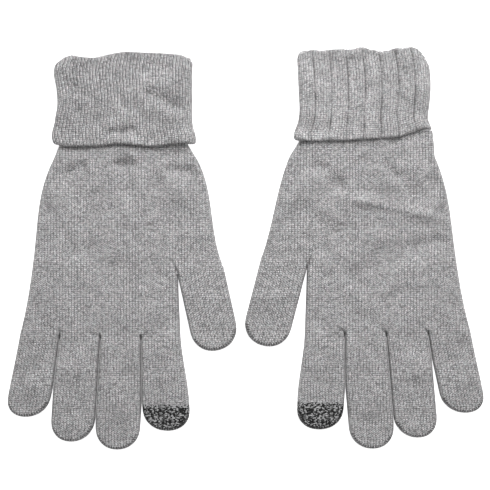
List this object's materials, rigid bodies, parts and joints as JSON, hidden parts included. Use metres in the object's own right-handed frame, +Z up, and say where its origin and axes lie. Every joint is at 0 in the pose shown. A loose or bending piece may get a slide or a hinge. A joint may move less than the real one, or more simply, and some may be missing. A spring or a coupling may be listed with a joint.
{
  "type": "touchscreen gloves",
  "caption": "Pair of knitted gloves with turned-up rib cuffs and conductive index fingertips, lying flat with the fingers together.",
  "frame": {"origin": "middle of the pair's underside, on the surface the gloves lie on", "axes": "+X from the left-hand glove to the right-hand glove, +Y from the fingertips to the cuffs, +Z up out of the palms"},
  "size_m": [0.2957, 0.2505, 0.0128],
  "materials": {
    "knit_grey": "soft heather knit, matt, slightly hairy",
    "cuff_rib_left": "fine rib knit, matt",
    "cuff_rib_right": "wide rib knit, matt",
    "touch_yarn": "black and grey marled conductive knit, matt",
    "seam_yarn": "linked closing yarn, matt",
    "elastic_yarn": "covered elastic yarn, matt"
  },
  "bodies": {
    "left_hand": {"left_hand_shell": "knit_grey"},
    "left_cuff": {"left_cuff_inner": "cuff_rib_left", "left_cuff_turnup": "cuff_rib_left", "left_cuff_welt": "cuff_rib_left", "left_wrist_elastic": "elastic_yarn"},
    "left_thumb_base": {"left_thumb_base": "knit_grey"},
    "left_thumb_end": {"left_thumb_end": "knit_grey", "left_thumb_tip_seam": "seam_yarn"},
    "left_index_base": {"left_index_base": "knit_grey"},
    "left_index_end": {"left_index_end": "knit_grey", "left_index_touch_tip": "touch_yarn", "left_index_tip_seam": "touch_yarn"},
    "left_middle_base": {"left_middle_base": "knit_grey"},
    "left_middle_end": {"left_middle_end": "knit_grey", "left_middle_tip_seam": "seam_yarn"},
    "left_ring_base": {"left_ring_base": "knit_grey"},
    "left_ring_end": {"left_ring_end": "knit_grey", "left_ring_tip_seam": "seam_yarn"},
    "left_little_base": {"left_little_base": "knit_grey"},
    "left_little_end": {"left_little_end": "knit_grey", "left_little_tip_seam": "seam_yarn"},
    "right_hand": {"right_hand_shell": "knit_grey"},
    "right_cuff": {"right_cuff_inner": "cuff_rib_right", "right_cuff_turnup": "cuff_rib_right", "right_cuff_welt": "cuff_rib_right", "right_wrist_elastic": "elastic_yarn"},
    "right_thumb_base": {"right_thumb_base": "knit_grey"},
    "right_thumb_end": {"right_thumb_end": "knit_grey", "right_thumb_tip_seam": "seam_yarn"},
    "right_index_base": {"right_index_base": "knit_grey"},
    "right_index_end": {"right_index_end": "knit_grey", "right_index_touch_tip": "touch_yarn", "right_index_tip_seam": "touch_yarn"},
    "right_middle_base": {"right_middle_base": "knit_grey"},
    "right_middle_end": {"right_middle_end": "knit_grey", "right_middle_tip_seam": "seam_yarn"},
    "right_ring_base": {"right_ring_base": "knit_grey"},
    "right_ring_end": {"right_ring_end": "knit_grey", "right_ring_tip_seam": "seam_yarn"},
    "right_little_base": {"right_little_base": "knit_grey"},
    "right_little_end": {"right_little_end": "knit_grey", "right_little_tip_seam": "seam_yarn"}
  },
  "joints": [
    {"name": "left_wrist_bend", "type": "hinge", "parent": "left_hand", "child": "left_cuff", "pos_m": [-0.0754, 0.058, 0.0096], "axis": [1, 0, 0], "range_deg": [0, 50]},
    {"name": "left_thumb_knuckle_bend", "type": "hinge", "parent": "left_hand", "child": "left_thumb_base", "pos_m": [-0.0281, -0.0138, 0.0092], "axis": [-0.9763, -0.2164, 0], "range_deg": [0, 60]},
    {"name": "left_thumb_middle_bend", "type": "hinge", "parent": "left_thumb_base", "child": "left_thumb_end", "pos_m": [-0.02247, -0.03918, 0.0092], "axis": [-0.9763, -0.2164, 0], "range_deg": [0, 70]},
    {"name": "left_index_knuckle_bend", "type": "hinge", "parent": "left_hand", "child": "left_index_base", "pos_m": [-0.0528, -0.054, 0.0092], "axis": [-1, 0, 0], "range_deg": [0, 60]},
    {"name": "left_index_middle_bend", "type": "hinge", "parent": "left_index_base", "child": "left_index_end", "pos_m": [-0.05135, -0.08, 0.0092], "axis": [-1, 0, 0], "range_deg": [0, 70]},
    {"name": "left_middle_knuckle_bend", "type": "hinge", "parent": "left_hand", "child": "left_middle_base", "pos_m": [-0.0781, -0.054, 0.0092], "axis": [-1, 0, 0], "range_deg": [0, 60]},
    {"name": "left_middle_middle_bend", "type": "hinge", "parent": "left_middle_base", "child": "left_middle_end", "pos_m": [-0.07894, -0.084, 0.0092], "axis": [-1, 0, 0], "range_deg": [0, 70]},
    {"name": "left_ring_knuckle_bend", "type": "hinge", "parent": "left_hand", "child": "left_ring_base", "pos_m": [-0.1034, -0.054, 0.0092], "axis": [-1, 0, 0], "range_deg": [0, 60]},
    {"name": "left_ring_middle_bend", "type": "hinge", "parent": "left_ring_base", "child": "left_ring_end", "pos_m": [-0.106, -0.082, 0.0092], "axis": [-1, 0, 0], "range_deg": [0, 70]},
    {"name": "left_little_knuckle_bend", "type": "hinge", "parent": "left_hand", "child": "left_little_base", "pos_m": [-0.129, -0.054, 0.0092], "axis": [-1, 0, 0], "range_deg": [0, 60]},
    {"name": "left_little_middle_bend", "type": "hinge", "parent": "left_little_base", "child": "left_little_end", "pos_m": [-0.13268, -0.076, 0.0092], "axis": [-1, 0, 0], "range_deg": [0, 70]},
    {"name": "right_glove_lift", "type": "slide", "parent": "left_hand", "child": "right_hand", "axis": [0, 0, 1], "range_m": [0, 0.12]},
    {"name": "right_wrist_bend", "type": "hinge", "parent": "right_hand", "child": "right_cuff", "pos_m": [0.0736, 0.06, 0.0096], "axis": [1, 0, 0], "range_deg": [0, 50]},
    {"name": "right_thumb_knuckle_bend", "type": "hinge", "parent": "right_hand", "child": "right_thumb_base", "pos_m": [0.0244, -0.0078, 0.0092], "axis": [-0.9681, 0.2504, 0], "range_deg": [0, 60]},
    {"name": "right_thumb_middle_bend", "type": "hinge", "parent": "right_thumb_base", "child": "right_thumb_end", "pos_m": [0.01789, -0.03297, 0.0092], "axis": [-0.9681, 0.2504, 0], "range_deg": [0, 70]},
    {"name": "right_index_knuckle_bend", "type": "hinge", "parent": "right_hand", "child": "right_index_base", "pos_m": [0.0493, -0.0524, 0.0092], "axis": [-1, 0, 0], "range_deg": [0, 60]},
    {"name": "right_index_middle_bend", "type": "hinge", "parent": "right_index_base", "child": "right_index_end", "pos_m": [0.04835, -0.0784, 0.0092], "axis": [-1, 0, 0], "range_deg": [0, 70]},
    {"name": "right_middle_knuckle_bend", "type": "hinge", "parent": "right_hand", "child": "right_middle_base", "pos_m": [0.075, -0.0524, 0.0092], "axis": [-1, 0, 0], "range_deg": [0, 60]},
    {"name": "right_middle_middle_bend", "type": "hinge", "parent": "right_middle_base", "child": "right_middle_end", "pos_m": [0.07662, -0.0824, 0.0092], "axis": [-1, 0, 0], "range_deg": [0, 70]},
    {"name": "right_ring_knuckle_bend", "type": "hinge", "parent": "right_hand", "child": "right_ring_base", "pos_m": [0.101, -0.0524, 0.0092], "axis": [-1, 0, 0], "range_deg": [0, 60]},
    {"name": "right_ring_middle_bend", "type": "hinge", "parent": "right_ring_base", "child": "right_ring_end", "pos_m": [0.10434, -0.0804, 0.0092], "axis": [-1, 0, 0], "range_deg": [0, 70]},
    {"name": "right_little_knuckle_bend", "type": "hinge", "parent": "right_hand", "child": "right_little_base", "pos_m": [0.1274, -0.0524, 0.0092], "axis": [-1, 0, 0], "range_deg": [0, 60]},
    {"name": "right_little_middle_bend", "type": "hinge", "parent": "right_little_base", "child": "right_little_end", "pos_m": [0.13144, -0.0744, 0.0092], "axis": [-1, 0, 0], "range_deg": [0, 70]}
  ]
}
